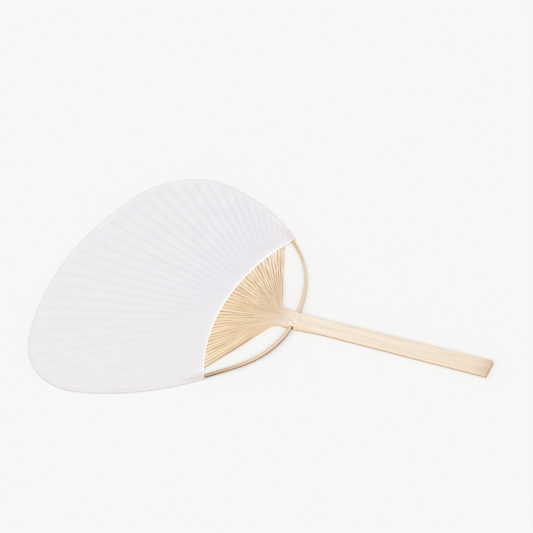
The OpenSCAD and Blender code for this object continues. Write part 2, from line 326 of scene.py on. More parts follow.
def newMaterial(name, settings):
    # A material with the settings of its shader's own sockets
    material = bpy.data.materials.new(name)
    material.use_nodes = True
    shader = material.node_tree.nodes["Principled BSDF"]
    for key, value in settings.items():
        shader.inputs[key].default_value = value
    return material, material.node_tree, shader


# Moso bamboo, split and scraped with a knife: matt and pale, with long straight fibres, a few darker
# bundles and soft bands of tone. Where the knife went last it is flecked with white and nicked, and on
# the ribs' right half the same flecks are painted highlights. Its sides and arrises are darker than
# its face, painted shade with some real browning, and painted shadow darkens the inside of the hole
# and the underside of the bow's left end.
def bambooMaterial(name, look):
    material, tree, shader = newMaterial(name, {"IOR": 1.5, "Specular IOR Level": 0.3})
    shades = {
        part: addNode(tree, "ShaderNodeAttribute", {"attribute_name": part}).outputs["Fac"]
        for part in ("across", "along", "length", "tone", "edge", "arris", "scraped", "burnt")}
    grain = addNode(tree, "ShaderNodeCombineXYZ", links={"X": shades["across"], "Y": shades["along"]})
    noises = {}
    for part in ("fibre", "bundle", "band", "fleck"):
        # Noise stretched along the fibres, by its real width and length in mm
        width, length, detail = look[part + "Grain"]
        place = addNode(
            tree, "ShaderNodeMapping", {"Scale": (1 / width, 1 / length, 1)}, {"Vector": grain.outputs[0]})
        noises[part] = addNode(
            tree, "ShaderNodeTexNoise", {"noise_dimensions": "2D", "Scale": 1, "Detail": detail},
            {"Vector": place.outputs[0]}).outputs[0]
    # What goes over the face's own colour, one after the other
    tints = [
        ("deep", shades["tone"], "MIX"), ("side", shades["edge"], "MIX"), ("arris", shades["arris"], "MIX")]
    for part in ("band", "fibre", "bundle"):
        low, high, most = look[part + "Range"]
        share = addNode(
            tree, "ShaderNodeMapRange", {"From Min": low, "From Max": high, "To Max": most},
            {"Value": noises[part]})
        tints.append((part, share.outputs[0], "MULTIPLY"))
    for part in ("nick", "fleck"):
        low, high = look[part + "Range"]
        share = addNode(
            tree, "ShaderNodeMapRange", {"From Min": low, "From Max": high}, {"Value": noises["fleck"]})
        share = addNode(
            tree, "ShaderNodeMath", {"operation": "MULTIPLY"}, {0: share.outputs[0], 1: shades["scraped"]})
        tints.append((part, share.outputs[0], "MIX"))
    tints.append(("burnt", shades["burnt"], "MIX"))
    face = addNode(
        tree, "ShaderNodeValToRGB", {"stops": look["length"]}, {"Fac": shades["length"]}).outputs[0]
    for part, share, blend in tints:
        face = addNode(
            tree, "ShaderNodeMix", {"data_type": "RGBA", "blend_type": blend, 7: colour(look[part])},
            {0: share, 6: face}).outputs[2]
    bump = addNode(
        tree, "ShaderNodeBump", {"Strength": look["bump"], "Distance": look["relief"] * mm},
        {"Height": noises["fibre"]})
    smooth, coarse = look["rough"]
    rough = addNode(
        tree, "ShaderNodeMapRange", {"To Min": smooth, "To Max": coarse}, {"Value": noises["bundle"]})
    tree.links.new(face, shader.inputs["Base Color"])
    tree.links.new(rough.outputs[0], shader.inputs["Roughness"])
    tree.links.new(bump.outputs[0], shader.inputs["Normal"])
    return material


# A grain is width and length in mm and detail. A range is where in its noise a pattern starts and is
# full, and a third number is how much it then tints.
slatLook = {
    "length": [(0, "#f6e9da"), (0.3, "#f8eddf"), (1, "#f4e6d4")],  # from the split to the end
    "deep": "#dfcaae",
    # The side and arris colours are painted shade, with some real browning on the arris
    "side": "#ebd7ba",
    "arris": "#b58c64",
    "band": "#f1e3cf",
    "bandGrain": (4, 70, 1),
    "bandRange": (0.35, 0.65, 0.3),
    "fibre": "#e3c8a6",
    "fibreGrain": (0.4, 18, 3),
    "fibreRange": (0.35, 0.7, 0.12),
    "bundle": "#cfa67c",
    "bundleGrain": (0.8, 50, 2),
    "bundleRange": (0.5, 0.7, 0.12),
    "nick": "#e6cfb4",
    "nickRange": (0.5, 0.42),
    "fleck": "#fff8ee",
    "fleckGrain": (0.9, 3, 3),
    "fleckRange": (0.5, 0.6),
    # Painted shadow inside the hole and under the bow's left end
    "burnt": "#4a3020",
    "bump": 0.6,
    "relief": 0.04,  # height of the fibres in mm
    "rough": (0.42, 0.58),
}

# From the split to the paper
ribLook = dict(
    slatLook,
    length=[(0, "#f6e9da"), (0.12, "#f4e4cf"), (0.3, "#f8e5ca"), (0.6, "#fdedd4"), (1, "#fff7e8")],
    # The side and arris colours are painted shade, and on the right half the fleck colour is a painted
    # highlight
    deep="#f5dcb2", side="#f2d8ab", arris="#b58c5c", fleck="#fffdf8", fleckGrain=(0.5, 14, 2),
    bandGrain=(2.5, 40, 1), fibreGrain=(0.3, 14, 3), fibreRange=(0.35, 0.7, 0.35),
    bundleGrain=(0.5, 26, 2), bundleRange=(0.5, 0.7, 0.5), relief=0.03)

# From the left end to the right. The dark at the left end is painted shadow where the bow goes under the
# paper.
bowLook = dict(
    slatLook,
    length=[
        (0, "#d6b08a"), (0.06, "#e4c5a2"), (0.16, "#eed4b6"), (0.92, "#eedabf"), (0.97, "#eccea8"),
        (1, "#e8c49a")],
    # The side colour is partly the skin's own and partly painted shade; the arris colour is painted shade
    side="#ead0b2", arris="#937054", bandGrain=(3, 30, 1), fibreGrain=(0.3, 18, 3),
    bundleGrain=(0.7, 50, 2), relief=0.03, rough=(0.34, 0.5))


# Kozo paper pasted over the ribs: matt and felted, with soft fibres, faint clouds and a speck here
# and there. Over the ribs it is a little darker, partly the bamboo showing through and partly
# painted shade, and a painted highlight whitens its trimmed lower edge.
def paperMaterial(name, look):
    material, tree, shader = newMaterial(name, {"Roughness": 0.85, "IOR": 1.45, "Specular IOR Level": 0.2})
    place = addNode(tree, "ShaderNodeTexCoord").outputs["Object"]
    inMm = addNode(tree, "ShaderNodeMapping", {"Scale": (1 / mm, 1 / mm, 1 / mm)}, {"Vector": place})
    noises = {}
    for part in ("cloud", "felt", "speck"):
        width, detail, twist = look[part + "Grain"]
        noises[part] = addNode(
            tree, "ShaderNodeTexNoise", {"Scale": 1 / width, "Detail": detail, "Distortion": twist},
            {"Vector": inMm.outputs[0]}).outputs[0]
    cloudy, clear = look["cloudRange"]
    base = addNode(
        tree, "ShaderNodeValToRGB", {"stops": [(cloudy, look["shade"]), (clear, look["white"])]},
        {"Fac": noises["cloud"]}).outputs[0]
    tints = []
    for part in ("felt", "speck"):
        low, high = look[part + "Range"]
        share = addNode(
            tree, "ShaderNodeMapRange", {"From Min": low, "From Max": high}, {"Value": noises[part]})
        tints.append((part, share.outputs[0]))
    for part in ("rib", "bow", "fold", "cut"):
        tints.append((part, addNode(tree, "ShaderNodeAttribute", {"attribute_name": part}).outputs["Fac"]))
    for part, share in tints:
        blend = "MIX" if part == "cut" else "MULTIPLY"
        base = addNode(
            tree, "ShaderNodeMix", {"data_type": "RGBA", "blend_type": blend, 7: colour(look[part])},
            {0: share, 6: base}).outputs[2]
    bump = addNode(
        tree, "ShaderNodeBump", {"Strength": look["bump"], "Distance": look["relief"] * mm},
        {"Height": noises["felt"]})
    tree.links.new(base, shader.inputs["Base Color"])
    tree.links.new(bump.outputs[0], shader.inputs["Normal"])
    return material


# A grain is width in mm, detail and distortion
paperLook = {
    "white": "#f2f0f3",
    "shade": "#efedf0",
    "cloudGrain": (14, 3, 0),
    "cloudRange": (0.3, 0.7),
    "felt": "#fbfafa",
    "feltGrain": (0.9, 4, 1.2),
    "feltRange": (0.3, 0.7),
    "speck": "#f3efe9",
    "speckGrain": (1.6, 1, 0),
    "speckRange": (0.76, 0.8),
    # Over the ribs: the bamboo showing through, and painted shade
    "rib": "#f9f9fa",
    "bow": "#f8f3ee",
    # Painted shade along the strip's fold at the rim
    "fold": "#ebe9ea",
    # Painted highlight along the trimmed lower edge
    "cut": "#ffffff",
    "bump": 0.35,
    "relief": 0.02,  # height of the felt in mm
}

slatBamboo = bambooMaterial("moso bamboo, scraped slat", slatLook)
ribBamboo = bambooMaterial("moso bamboo, split ribs", ribLook)
bowBamboo = bambooMaterial("bamboo rod, bent over heat", bowLook)
sheetPaper = paperMaterial("kozo paper, pasted sheet", paperLook)
foldPaper = paperMaterial("kozo paper, folded strip", dict(paperLook, shade="#eeebee"))


# Cotton thread, two-ply and left undyed: matt, off-white, with slanting plies
def threadMaterial(look):
    material, tree, shader = newMaterial("cotton thread, two-ply", {"Roughness": 0.9})
    place = addNode(tree, "ShaderNodeTexCoord").outputs["Object"]
    # A diagonal wave at scale 1 turns 10 radians in a metre along the thread
    plies = addNode(
        tree, "ShaderNodeTexWave",
        {"bands_direction": "DIAGONAL", "Scale": 1 / (10 * look["plyTurn"] * mm), "Distortion": 1.5},
        {"Vector": place}).outputs["Fac"]
    shade = addNode(
        tree, "ShaderNodeValToRGB", {"stops": [(0, look["dark"]), (1, look["pale"])]}, {"Fac": plies})
    bump = addNode(
        tree, "ShaderNodeBump", {"Strength": look["bump"], "Distance": look["relief"] * mm},
        {"Height": plies})
    tree.links.new(shade.outputs[0], shader.inputs["Base Color"])
    tree.links.new(bump.outputs[0], shader.inputs["Normal"])
    return material


threadLook = {
    "pale": "#f4f1e8",
    "dark": "#d9d4c6",
    # Millimetres in a radian. Each ply is 6.3 mm long, much coarser than a real one.
    "plyTurn": 1.0,
    "bump": 0.5,
    "relief": 0.03,
}
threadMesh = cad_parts["binding_thread"].data
threadMesh.materials.clear()
threadMesh.materials.append(threadMaterial(threadLook))
print("materials made")


# Slat

slat = {
    "endWidth": 14.8,
    "width": 13.8,
    "thick": 3.0,
    "neckWidth": 16.2,
    "neckThick": slatBox[1].z,
    "splitWidth": 15.6,
    "splitThick": 3.4,
    # The hole is a slot with rounded corners. A squareness of 2 would make it an ellipse.
    "boreWidth": 3.5,
    "boreHigh": 2.5,
    "boreZ": 2.3,  # height of its middle
    "boreSquare": 4,
    "boreSides": 40,
    "neckRun": 27,  # from the hole down to where the neck ends
    "shaveWidth": 2.2,  # of the neck's edges, at the hole
    "shaveDepth": 2.5,
    "swellShift": 0.6,  # to the left, at the end of the neck
    "endShift": 0.8,  # to the right
    "endCut": 0.6,  # radius of the end's corners in plan
    "endThick": 2.0,  # the face slopes down to this over this length
    "endSlope": 1.4,
    "arrisRound": 0.35,
    "faceParts": 10,
    "scraped": 0.75,  # how freshly at the hole, and how far from it that wears off
    "scrapedRun": 7,
    "darkEnd": 12,  # darker towards the end, over this length from it
    "endShade": 1.2,
    "sideAtSplit": 0.3,  # how much of the sides' painted shade shows at the split
    "sideRun": 5,  # and the length below it in which it grows by 1
    "grainStart": 210,
    "sharp": 35,
}

# The bow's settings stand here because the slat is drilled to fit it
bow = {
    "back": 8.0,  # from the split down to its middle
    "rise": 1.0,  # how much higher it leaves the hole at the right than at the left
    "low": 0.1,  # below the middle of the hole
    "splay": math.radians(6),  # how far each half is turned towards the head
    "width": 1.9,  # the solid bow's, which the hole is set out from
    "play": 0.3,  # between the upper side of a bow of that width and the hole's
    "tipWidth": 2.0,
    "tipLength": 12,  # from the paper's edge on, under the paper
    "bellyRoot": 35.6,  # lengths of the curve's two handles
    "bellyTip": 24.6,
    "tipFrom": 0.96,  # where it has come down to the height of its ends
    # Width and thickness of each half, from the hole to the paper
    "widths": {
        -1: [(0, 2.3), (0.05, 2.6), (0.75, 2.5), (0.92, 3), (0.98, 3), (1, 2)],
        1: [(0, 2.3), (0.05, 2.5), (0.3, 2.2), (0.5, 1.8), (0.85, 1.8), (0.93, 2.2), (1, 2)]},
    "thicks": {
        -1: [(0, 2.1), (0.05, 2.4), (0.7, 2.3), (0.9, 2), (0.97, 1.9), (1, 1.3)],
        1: [(0, 2.1), (0.05, 2.3), (0.3, 2), (0.5, 1.6), (0.85, 1.6), (1, 1)]},
    # The notch round each end that holds the thread
    "nockHalf": 1.3,
    "nockSlope": 0.3,
    "nockThin": 0.6,
    "pointWidth": 1.4,
    "sides": 16,
    "squareness": 3.2,
    "steps": 44,
    # Painted shadow on the underside of the bow's left end, where it goes under the paper
    "burnt": 0.85,
    "paintedShadowFrom": 4,  # past the left end's stretch under the paper, where the painted shadow starts to fade
    "paintedShadowTo": 34,  # from the left tip, where it ends
    "grainStart": 400,
    "grainPitch": 0.42,  # from corner to corner round the rod
    "sharp": 50,
}

slatLength = splitY - slatBox[0].y
boreY = -bow["back"] - (slat["boreWidth"] - bow["width"]) / 2 + bow["play"]
swellY = boreY - slat["neckRun"]
bowLean = math.asin(bow["rise"] / slat["neckWidth"])


def scrapedAt(y):
    # How freshly the knife has scraped the bamboo, most of all round the hole
    return slat["scraped"] * math.exp(-((y - boreY) / slat["scrapedRun"]) ** 2)


def slatSection(y):
    # The slat's section at y, from its lower right corner up, over the face and down the left side
    fromEnd = y + slatLength
    if y > boreY:
        half = mix(slat["splitWidth"], slat["neckWidth"], y / boreY) / 2
        top = mix(slat["splitThick"], slat["neckThick"], y / boreY)
        middle = -head["neckShift"]
        cut = y / boreY
    elif y > swellY:
        cut = (y - swellY) / slat["neckRun"]
        half = mix(slat["width"], slat["neckWidth"], cut * mix(1, ease(cut), 0.5)) / 2
        top = mix(slat["thick"], slat["neckThick"], cut)
        middle = -mix(slat["swellShift"], head["neckShift"], cut)
    else:
        cut = 0
        half = mix(slat["endWidth"], slat["width"], fromEnd / (swellY + slatLength)) / 2
        top = slat["thick"]
        middle = mix(slat["endShift"], -slat["swellShift"], fromEnd / (swellY + slatLength))
    if fromEnd < slat["endCut"]:
        half -= slat["endCut"] - math.sqrt(slat["endCut"] ** 2 - (slat["endCut"] - fromEnd) ** 2)
    if fromEnd < slat["endSlope"]:
        top = mix(slat["endThick"], slat["thick"], math.sqrt(fromEnd / slat["endSlope"]))
    small = slat["arrisRound"]
    wide = mix(small, slat["shaveWidth"], cut)
    deep = mix(small, slat["shaveDepth"], cut)
    # Distance in from the side, height, and how much each is side and arris, whose colours are painted
    # shade with some real browning on the arris. Only where it is shaved does the side's painted shade reach
    # up to the face.
    profile = [
        (small, 0, 1, 1), (small * 0.3, small * 0.3, 1, 1), (0, small, 1, 0.9),
        (0, mix(small, top - deep, 0.4), 1, 0.1), (0, mix(small, top - deep, 0.7), mix(0.3, 1, cut), 0),
        (0, top - deep, cut, 0), (wide * 0.4, top - deep * mix(0.5, 0.6, cut), cut, 0),
        (wide * 0.9, top - deep * mix(0.04, 0.1, cut), 0.8 * cut, 0), (wide, top, 0.1 * cut, 0)]
    # Near the end the side and arris colours come over the end face: darker end grain, with painted shade
    nearEnd = 1 - ease(fromEnd, 0, slat["endShade"])
    belowSplit = min(1, slat["sideAtSplit"] - y / slat["sideRun"])

    def corner(x, z, edge, arris):
        shades = {
            # The grain goes on down the sides, a little closer than on the face
            "across": x if z > top - 0.01 else x * 0.6 + z,
            "along": y + slat["grainStart"],
            "length": min(1, -y / slatLength),
            "scraped": scrapedAt(y),
            "tone": 0.8 * (1 - ease(fromEnd, 0, slat["darkEnd"])),
            "edge": max(edge * belowSplit, nearEnd * 0.7),
            "arris": max(arris * belowSplit, nearEnd * 0.5),
        }
        return Vector((middle + x, y, z)), shades

    right = [corner(half - inset, z, edge, arris) for inset, z, edge, arris in profile]
    left = [corner(inset - half, z, edge, arris) for inset, z, edge, arris in reversed(profile)]
    parts = slat["faceParts"]
    face = [corner((half - wide) * (1 - 2 * k / parts), top, 0, 0) for k in range(1, parts)]
    return right + face + left


# Stretches of the slat from its end to the split, and how many sections each gets
slatStops = [
    (0, 0.4, 3), (0.4, 1.4, 4), (1.4, 3, 2), (3, slatLength + swellY, 30),
    (slatLength + swellY, slatLength + boreY, 16), (slatLength + boreY, slatLength, 6)]
slatPlaces = [0]
for low, high, parts in slatStops:
    slatPlaces += [mix(low, high, (k + 1) / parts) for k in range(parts)]
slatPiece = finishPiece(
    sweepPiece([slatSection(place - slatLength) for place in slatPlaces]),
    "bambooSlat", slatBamboo, "handle", slat["sharp"])


def drillNeck(piece):
    # Bores the hole for the bow through the neck from side to side
    bm = bmesh.new()
    layers = newShades(bm, ("across", "along", "edge"))
    middle = Vector((-head["neckShift"], boreY + splitY, slat["boreZ"])) * mm
    way = Matrix.Rotation(bowLean, 4, "Z") @ Matrix.Rotation(math.pi / 2, 4, "Y")
    bmesh.ops.create_cone(
        bm, cap_ends=True, segments=slat["boreSides"], radius1=1, radius2=1,
        depth=1.5 * slat["neckWidth"] * mm)
    for vert in bm.verts:
        vert.co.x = squarish(vert.co.x, slat["boreSquare"]) * slat["boreHigh"] / 2 * mm
        vert.co.y = squarish(vert.co.y, slat["boreSquare"]) * slat["boreWidth"] / 2 * mm
    bm.transform(Matrix.Translation(middle) @ way)
    for vert in bm.verts:
        vert[layers["across"]] = vert.co.z / mm
        vert[layers["along"]] = vert.co.x / mm
        vert[layers["edge"]] = 1
    mesh = bpy.data.meshes.new("drill")
    bm.to_mesh(mesh)
    bm.free()
    drill = bpy.data.objects.new("drill", mesh)
    bpy.context.scene.collection.objects.link(drill)
    bore = piece.modifiers.new("bore", "BOOLEAN")
    bore.operation = "DIFFERENCE"
    bore.solver = "EXACT"
    bore.object = drill
    finished = piece.evaluated_get(bpy.context.evaluated_depsgraph_get())
    drilled = bpy.data.meshes.new_from_object(finished)
    piece.modifiers.clear()
    piece.data = drilled
    drilled.set_sharp_from_angle(angle=math.radians(slat["sharp"]))
    bpy.data.objects.remove(drill)
    # The faces inside the hole, which run along it, are painted dark as shadow
    axis = way.to_3x3() @ Vector((0, 0, 1))
    burnt = drilled.attributes.new("burnt", "FLOAT", "FACE")
    for face in drilled.polygons:
        near = (face.center - middle).cross(axis).length < slat["boreWidth"] / 2 * mm
        burnt.data[face.index].value = near and abs(face.normal.dot(axis)) < 0.5


drillNeck(slatPiece)
print("slat made and drilled")


# Ribs

ribs = {
    "fill": 0.7,  # width of a rib's face, as a share of the distance from rib to rib
    "foot": 0.91,  # and of its underside, at the left and at the right
    "rightFoot": 1.0,
    # How far the outermost rib of each side curves in, and where that wears off
    "bulge": {-1: (1.0, 0.3, 0.65), 1: (1.6, 0.3, 1.1)},
    # Where the knife's cuts open, as a share of the way to the paper, from the left to the right
    "opens": [(-1, 0.5), (-0.4, 0.36), (-0.1, 0.12), (0.2, 0.03), (0.8, 0.04), (1, 0.2)],
    "later": 11,  # mm by which every second cut opens later
    # The cut first shows at this share of the way to where it opens, and comes in over this length
    "looseFrom": 0.6,
    "looseRun": 7,
    "endWidth": 1.2,  # at the rim
    "low": 0.5,  # heights of a rib's underside and face under the paper
    "high": 1.5,
    "edgeClear": 0.4,  # what counts as seen ends this far below the paper
    "rimClear": 1.05,
    "waver": 0.07,  # from side to side, as a share of half the distance from rib to rib
    "paintedShadeLean": 0.45,  # painted shade: how much darker a rib is at its left edge than in its middle
    "toneFrom": (12, 40),  # from the split, where the ribs' own tones come in
    "paleSides": 0.6,  # how much weaker the painted shade on the ribs' sides is at the right
    "closedCutShade": 0.3,  # how much painted shade darkens the closed cuts at the left
    "steps": 22,
    "hiddenSteps": 6,
    "sharp": 50,
    "seed": 7,
    # Ranges of what differs from rib to rib
    "opensPlay": (0, 4),
    "fillPlay": (0.88, 1.1),
    "footPlay": (0.97, 1.03),
    "liftPlay": (-0.2, 0.1),
    "tonePlay": (0, 0.7),
    "paintedGlintPlay": (0.4, 1),
    "waveLength": (26, 44),
    "waveStart": (0, 6),
    "grainPlay": ((0, 90), (0, 300)),
}
chance = random.Random(ribs["seed"])

# One half of a rib's section, from its foot to the middle of its face: how far each corner is from
# the foot's edge, at 0, to the face's edge, at 1, and to the middle, at 2, then its height from 0
# to 1, and how much it is side and arris, whose colours are painted shade
ribProfile = [
    (0.15, 0, 1, 1), (0, 0.06, 1, 0.9), (0, 0.62, 1, 1), (0.5, 0.82, 0.9, 0.9), (0.9, 0.96, 0.5, 0.8),
    (1, 0.985, 0.2, 0.5), (1.25, 1, 0, 0.1)]


def ribBulge(t, down):
    # How a rib curves in on its way to the paper, the more the further out it stands
    side = -1 if t < 0 else 1
    most, low, high = ribs["bulge"][side]
    amount = most * ease(abs(t), 0.3, 1) * ease(down, 0, 0.12) * (1 - ease(down, low, high))
    return leftOf(lineWay(t)) * side * amount


def makeRib(number):
    t = -1 + (number - 1) * ribPitch
    bend = head["bendHeight"]
    seen = lineToEdge(t) - ribs["edgeClear"] + bend
    reach = lineToRim(t, ribs["rimClear"]) + bend
    # The cuts open sooner at the right of the fan, where every second one opens later
    opens = seen * stepped(ribs["opens"], t) + chance.uniform(*ribs["opensPlay"])
    opens += number % 2 * ribs["later"] * ease(t, -0.5, 0)
    wide = ribs["fill"] * chance.uniform(*ribs["fillPlay"])
    foot = mix(ribs["foot"], ribs["rightFoot"], ease(t, -0.3, 0.4))
    foot = min(1, foot * chance.uniform(*ribs["footPlay"]))
    lift = chance.uniform(*ribs["liftPlay"])
    tone = chance.uniform(*ribs["tonePlay"])
    # The fan's right half gets painted highlights: light flecks along the grain
    paintedGlint = chance.uniform(*ribs["paintedGlintPlay"]) * ease(t, -0.1, 0.4)
    # How strong the sides' painted shade is, weaker at the right, and how much painted shade the closed cuts
    # get
    light = 1 - ribs["paleSides"] * ease(t, 0, 0.6)
    cut = mix(ribs["closedCutShade"], 1, ease(t, -0.8, -0.1))
    wave = chance.uniform(*ribs["waveLength"]), chance.uniform(*ribs["waveStart"])
    grainStart = Vector([chance.uniform(*span) for span in ribs["grainPlay"]])

    def section(run):
        # Down goes from 0 at the slat to 1 at the paper. Loose and opening go from 0 to 1 as the cut
        # beside the rib first shows and then widens.
        down = min(1, run / seen)
        opening = ease(run, opens, mix(opens, seen, 0.5))
        loose = ease(run, opens * ribs["looseFrom"], opens * ribs["looseFrom"] + ribs["looseRun"])
        waver = ribs["waver"] * math.sin(run / wave[0] * 2 * math.pi + wave[1]) * opening
        # Widths of the face and the foot, as shares of the distance from rib to rib
        face = mix(1, wide, opening) - abs(waver) * 0.3
        base = mix(1, foot, opening)
        corners = [
            (mix(base, face, a) if a <= 1 else mix(face, 0, a - 1), b, edge, arris)
            for a, b, edge, arris in ribProfile]
        corners += [(0, 1, 0, 0)] + [(-a, b, edge, arris) for a, b, edge, arris in reversed(corners)]
        ring = []
        for a, b, edge, arris in corners:
            if run <= seen:
                at = t + (a + waver) * ribPitch / 2
                whole = lineToEdge(at) - ribs["edgeClear"] + bend
                spot = linePoint(at, down * whole - bend) + ribBulge(at, down)
            else:
                # Under the paper the rib narrows to its end
                at = t + ribPitch / 2
                half = (linePoint(at, lineToEdge(at)) - linePoint(t, lineToEdge(t))).length
                half = mix(half, ribs["endWidth"] / 2 / wide, (run - seen) / (reach - seen))
                spot = linePoint(t, run - bend) - leftOf(lineWay(t)) * a * half
            top = mix(slat["splitThick"], ribs["high"], down) + lift * math.sin(math.pi * down) * loose
            flush = mix(1, b, loose) if b > 0.6 else b
            shades = {
                "across": grainStart.x + a * (0.3 + 0.7 * down) + b,
                "along": grainStart.y + run,
                "length": down,
                # Real scraping near the split, and painted highlights on the right half
                "scraped": max(scrapedAt(run), paintedGlint * ease(a, -0.9, 0.4) * ease(down, 0.2, 0.7)),
                # Each rib's own tone, darker towards its left edge as painted shade
                "tone": (tone - ribs["paintedShadeLean"] * a) * ease(run, *ribs["toneFrom"]),
                # Painted shade on the sides, on the underside's arris and in the cuts that have not opened
                "edge": mix(0.3, 1, loose) * edge * light,
                "arris": mix(0.3, 1, loose) * (arris if b < 0.1 else arris * cut * (1 - opening)),
                "burnt": 0,
            }
            ring.append((Vector((spot.x, spot.y, mix(ribs["low"] * down, top, flush))), shades))
        return ring

    runs = [seen * k / ribs["steps"] for k in range(ribs["steps"] + 1)]
    runs += [mix(seen, reach, (k + 1) / ribs["hiddenSteps"]) for k in range(ribs["hiddenSteps"])]
    finishPiece(
        sweepPiece([section(run) for run in runs]),
        "bambooRib_%02d" % number, ribBamboo, "rib_%02d" % number, ribs["sharp"])


for number in range(1, head["ribCount"] + 1):
    makeRib(number)
print("ribs made:", head["ribCount"])


# Bow

def bowCurve(side, u):
    # The bow from the mouth of its hole, at u = 0, to the paper's edge, at u = 1
    centre, radius = rims[side]["flank"]
    spoke = toward(cornerTurn(side, head["tipInset"]))
    lean = math.pi / 2 - side * bowLean
    start = Vector((-side * head["neckShift"], -bow["back"])) + slat["neckWidth"] / 2 * toward(lean)
    end = centre + (radius - head["tipInset"]) * spoke
    first = start + bow["bellyRoot"] * toward(lean - bow["splay"])
    second = end - bow["bellyTip"] * leftOf(spoke)
    return (
        (1 - u) ** 3 * start + 3 * (1 - u) ** 2 * u * first + 3 * (1 - u) * u * u * second + u ** 3 * end)


def bowHalf(side):
    # Stations of one half: place, way, height, width and thickness
    flat = ribs["high"] - ribs["low"]
    middle = (ribs["high"] + ribs["low"]) / 2
    stations = []
    for k in range(bow["steps"] + 1):
        u = k / bow["steps"]
        way = (bowCurve(side, u + 0.01) - bowCurve(side, u - 0.01)).normalized()
        high = mix(slat["boreZ"] - bow["low"], middle, min(1, u / bow["tipFrom"]))
        wide, thick = stepped(bow["widths"][side], u), stepped(bow["thicks"][side], u)
        stations.append((bowCurve(side, u), way, high, wide, thick))
    nock, inner = head["threadIn"], bow["nockHalf"]
    outer = inner + bow["nockSlope"]
    centre, radius = rims[side]["flank"]
    radius -= head["tipInset"]
    for run, thin in ((nock - outer, 0), (nock - inner, 1), (nock + inner, 1), (nock + outer, 0)):
        thin *= bow["nockThin"]
        spoke = toward(cornerTurn(side, head["tipInset"]) - run / radius)
        stations.append((centre + radius * spoke, leftOf(spoke), middle, bow["tipWidth"] - thin, flat - thin))
    spoke = toward(cornerTurn(side, head["tipInset"]) - bow["tipLength"] / radius)
    stations.append((centre + radius * spoke, leftOf(spoke), middle, bow["pointWidth"], flat))
    return stations


def bowSections():
    # From the left end to the right. Across is 1 at the bow's outer side and up is 1 on top.
    whole = [
        (mirrored(-1, spot), mirrored(-1, -way), high, wide, thick)
        for spot, way, high, wide, thick in reversed(bowHalf(-1))] + bowHalf(1)
    sections, run, last = [], 0, whole[0][0]
    length = sum((b[0] - a[0]).length for a, b in zip(whole, whole[1:]))
    for place, (spot, way, high, wide, thick) in enumerate(whole):
        run += (spot - last).length
        last = spot
        ring = []
        for k in range(bow["sides"]):
            angle = 2 * math.pi * (k - 0.5) / bow["sides"] - math.pi / 2
            across = squarish(math.cos(angle), bow["squareness"])
            up = squarish(math.sin(angle), bow["squareness"])
            point = spot - leftOf(way) * across * wide / 2
            # Its outer and lower sides are darker, partly the skin's own colour and partly painted shade. At
            # the left its underside gets more painted shade, and painted shadow towards the end.
            burnt = 1 - ease(run, bow["tipLength"] + bow["paintedShadowFrom"], bow["paintedShadowTo"])
            shades = {
                "across": bow["grainStart"] + bow["grainPitch"] * k,
                "along": run,
                "length": ease(run, bow["tipLength"], length - bow["tipLength"]),
                "scraped": 0,
                "tone": 0,
                "edge": ease(0.6 * across - 0.5 * up, 0, 1),
                "arris": ease(-up, -0.75, 0) * mix(0.3, 1, ease(-spot.x, -10, 10)),
                "burnt": bow["burnt"] * ease(-up, -0.95, -0.2) * burnt,
            }
            ring.append((Vector((point.x, point.y, high + up * thick / 2)), shades))
        sections.append(ring)
    return sections


finishPiece(sweepPiece(bowSections()), "bambooBow", bowBamboo, "bow", bow["sharp"])
print("bow made")


# Paper

paper = {
    "thick": 0.2,
    "inset": 0.25,  # from the rim, for the strip
    # The ridge over the thread: its height, where it rises and falls, in from the lower edge, and how
    # far past the thread's end it goes on
    "ridgeRise": 0.3,
    "ridgeRamp": (0.4, 2.3, 3.7, 9.0),
    "ridgePast": 5,
    "sag": 0.035,  # between the ribs
    "pinch": 0.3,  # of the two sheets past the outermost ribs, and where it ends above the lower edge
    "pinchRun": (2, 26),
    "clearLeft": 0.3,  # how much of the ribs' relief is left at the left
    "pinchBow": (1, 5),  # the bow keeps them apart this far off its middle line
    "sagEdge": (4, 12),  # how far in from the lower edge and from the rim the ribs' relief starts
    "sagRim": (2.5, 7),
    "cutHighlight": (0.5, 1.4),  # how far in the painted highlight along the trimmed lower edge reaches
    # Where the bow shows through: off its middle line, from before the corner, and round its end
    "bowShow": (0.4, 5),
    "bowStart": (-4, -2),
    "bowEnd": (-4, 8),
    "columnsPerRib": 8,
    "edgeRows": (0, 0.25, 0.6, 1, 1.5, 2, 2.5, 3, 3.5, 4, 4.6, 5.4, 6.4, 7.6, 9, 11),
    "bodyRows": 26,
    "rimRows": (9, 6, 4, 3, 1.5, 0),
    "cornerRun": 0.3,  # the sheet's last column of cells is at least this long
    "sharp": 35,
}


def fanEnd(side):
    # The last line of the fan that still crosses the paper at its corner, found by halving
    near, far = 1.0, 1.4
    for _ in range(40):
        t = (near + far) / 2
        if lineToRim(side * t, paper["inset"]) - lineToEdge(side * t) > paper["cornerRun"]:
            near = t
        else:
            far = t
    return side * near


fanEnds = fanEnd(-1), fanEnd(1)
sheetColumns = round((fanEnds[1] - fanEnds[0]) / ribPitch * paper["columnsPerRib"])
sheetRows = len(paper["edgeRows"]) + paper["bodyRows"] + len(paper["rimRows"]) - 1


def rowRun(row, whole):
    # How far from the lower edge a row lies, on a line of this whole length
    squeeze = min(1, whole / (paper["edgeRows"][-1] + paper["rimRows"][0] + paper["bodyRows"]))
    if row < len(paper["edgeRows"]):
        return paper["edgeRows"][row] * squeeze
    row -= len(paper["edgeRows"])
    if row < paper["bodyRows"]:
        first, last = paper["edgeRows"][-1] * squeeze, whole - paper["rimRows"][0] * squeeze
        return mix(first, last, (row + 1) / (paper["bodyRows"] + 1))
    return whole - paper["rimRows"][row - paper["bodyRows"]] * squeeze


